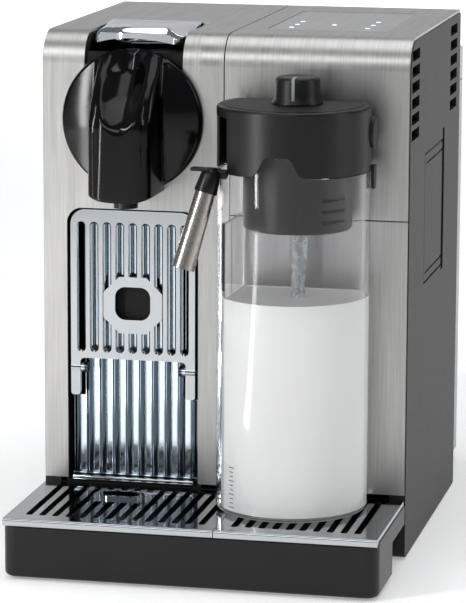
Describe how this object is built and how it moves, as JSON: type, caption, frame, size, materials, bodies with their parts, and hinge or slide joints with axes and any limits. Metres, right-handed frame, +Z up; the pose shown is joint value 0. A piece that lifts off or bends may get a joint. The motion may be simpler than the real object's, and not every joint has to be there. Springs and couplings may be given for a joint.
{
  "type": "pod coffee machine",
  "caption": "Counter-top pod coffee machine with lever, pouring head, fold-down cup shelf, drip tray, clear milk jug with frothing lid and rear water tank.",
  "frame": {"origin": "centre of the footprint, on the surface it stands on", "axes": "+Z up, the user stands on the -Y side, +X to the user's right"},
  "size_m": [0.194, 0.332, 0.274],
  "materials": {
    "brushed_aluminium": "vertical-grain brushed sheet",
    "charcoal_shell": "fine moulded texture",
    "black_base": "moulded matt",
    "soft_rubber": "matt",
    "gloss_black": "polished",
    "satin_black": "satin moulded",
    "chrome_plate": "mirror plated",
    "brushed_spout": "satin brushed tube",
    "clear_jug": "clear moulded",
    "smoked_tank": "smoked translucent",
    "milky_tube": "translucent",
    "tray_black": "semi-gloss moulded",
    "panel_glass": "satin, lit from behind",
    "lamp_white": "diffusing",
    "works_plastic": "natural",
    "cast_alloy": "as cast",
    "zinc_screws": "zinc plated",
    "board_green": "solder resist",
    "silicone_hose": "translucent silicone"
  },
  "bodies": {
    "machine": {"base_plate": "black_base", "rubber_feet": "soft_rubber", "front_sill": "black_base", "side_shell_left": "charcoal_shell", "side_shell_right": "charcoal_shell", "rear_cover": "charcoal_shell", "front_panel_left": "brushed_aluminium", "front_panel_upper_right": "brushed_aluminium", "front_panel_lower_right": "brushed_aluminium", "touch_panel": "panel_glass", "indicator_lamps": "lamp_white", "accessory_pocket": "black_base", "door_pins": "zinc_screws", "cord_inlet": "soft_rubber", "case_screws": "zinc_screws", "head_shroud": "black_base", "coffee_dome": "gloss_black", "coffee_nozzle": "satin_black", "bay_liner": "black_base", "brew_frame": "works_plastic", "capsule_holder": "works_plastic", "lever_pin": "zinc_screws", "tank_dock": "works_plastic", "dock_seal": "soft_rubber", "flow_meter": "works_plastic", "water_pump": "cast_alloy", "pump_mounts": "soft_rubber", "thermoblock": "cast_alloy", "power_board": "board_green", "control_board": "board_green", "water_hoses": "silicone_hose", "coffee_hose": "silicone_hose", "steam_line": "cast_alloy"},
    "lever": {"lever_handle": "chrome_plate"},
    "piston": {"brew_piston": "works_plastic"},
    "bin": {"capsule_bin": "black_base", "bin_front": "chrome_plate", "shelf_pins": "zinc_screws"},
    "shelf": {"cup_shelf": "chrome_plate", "finger_cup": "satin_black"},
    "tray": {"drip_tray": "tray_black", "drip_grid_left": "chrome_plate", "drip_grid_right": "chrome_plate"},
    "jug": {"milk_jug": "clear_jug"},
    "lid": {"lid_body": "satin_black", "lid_top_disc": "satin_black", "froth_housing": "satin_black", "suction_tube": "milky_tube", "spout_arm": "satin_black", "inlet_seal": "soft_rubber", "lid_latch": "satin_black"},
    "knob": {"froth_knob": "satin_black"},
    "spout": {"spout_head": "satin_black", "spout_tube": "brushed_spout"},
    "button": {"release_button": "satin_black"},
    "tank": {"water_tank": "smoked_tank", "tank_valve": "works_plastic", "tank_hinge_pin": "zinc_screws"},
    "tank_cover": {"tank_lid": "smoked_tank"},
    "door": {"accessory_door": "charcoal_shell"}
  },
  "joints": [
    {"name": "lever_lift", "type": "hinge", "parent": "machine", "child": "lever", "pos_m": [-0.048, -0.032, 0.262], "axis": [-1, 0, 0], "range_deg": [0, 85]},
    {"name": "piston_stroke", "type": "slide", "parent": "machine", "child": "piston", "axis": [0, 1, 0], "range_m": [0, 0.0241]},
    {"name": "bin_pull", "type": "slide", "parent": "machine", "child": "bin", "axis": [0, -1, 0], "range_m": [0, 0.11]},
    {"name": "shelf_fold", "type": "hinge", "parent": "bin", "child": "shelf", "pos_m": [-0.04875, -0.081, 0.0945], "axis": [1, 0, 0], "range_deg": [0, 90]},
    {"name": "tray_pull", "type": "slide", "parent": "machine", "child": "tray", "axis": [0, -1, 0], "range_m": [0, 0.085]},
    {"name": "jug_pull", "type": "slide", "parent": "machine", "child": "jug", "axis": [0, -1, 0], "range_m": [0, 0.12]},
    {"name": "lid_lift", "type": "slide", "parent": "jug", "child": "lid", "axis": [0, 0, 1], "range_m": [0, 0.12]},
    {"name": "knob_turn", "type": "hinge", "parent": "lid", "child": "knob", "pos_m": [0.0431, -0.107, 0.241], "axis": [0, 0, 1], "range_deg": [-60, 60]},
    {"name": "spout_swing", "type": "hinge", "parent": "lid", "child": "spout", "pos_m": [0.005, -0.138, 0.207], "axis": [0, 1, 0], "range_deg": [-14, 10]},
    {"name": "button_press", "type": "slide", "parent": "lid", "child": "button", "axis": [-1, 0, 0], "range_m": [0, 0.002], "stiffness_N_per_m": 400, "springref_m": -0.002},
    {"name": "tank_lift", "type": "slide", "parent": "machine", "child": "tank", "axis": [0, 0, 1], "range_m": [0, 0.12]},
    {"name": "tank_lid_open", "type": "hinge", "parent": "tank", "child": "tank_cover", "pos_m": [0, 0.1628, 0.2302], "axis": [-1, 0, 0], "range_deg": [0, 95]},
    {"name": "door_swing", "type": "hinge", "parent": "machine", "child": "door", "pos_m": [0.0959, -0.0319, 0.1725], "axis": [0, 0, -1], "range_deg": [0, 100]}
  ],
  "couplings": [
    {"joint": "piston_stroke", "follows": "lever_lift", "m_per_rad": 0.016178}
  ]
}
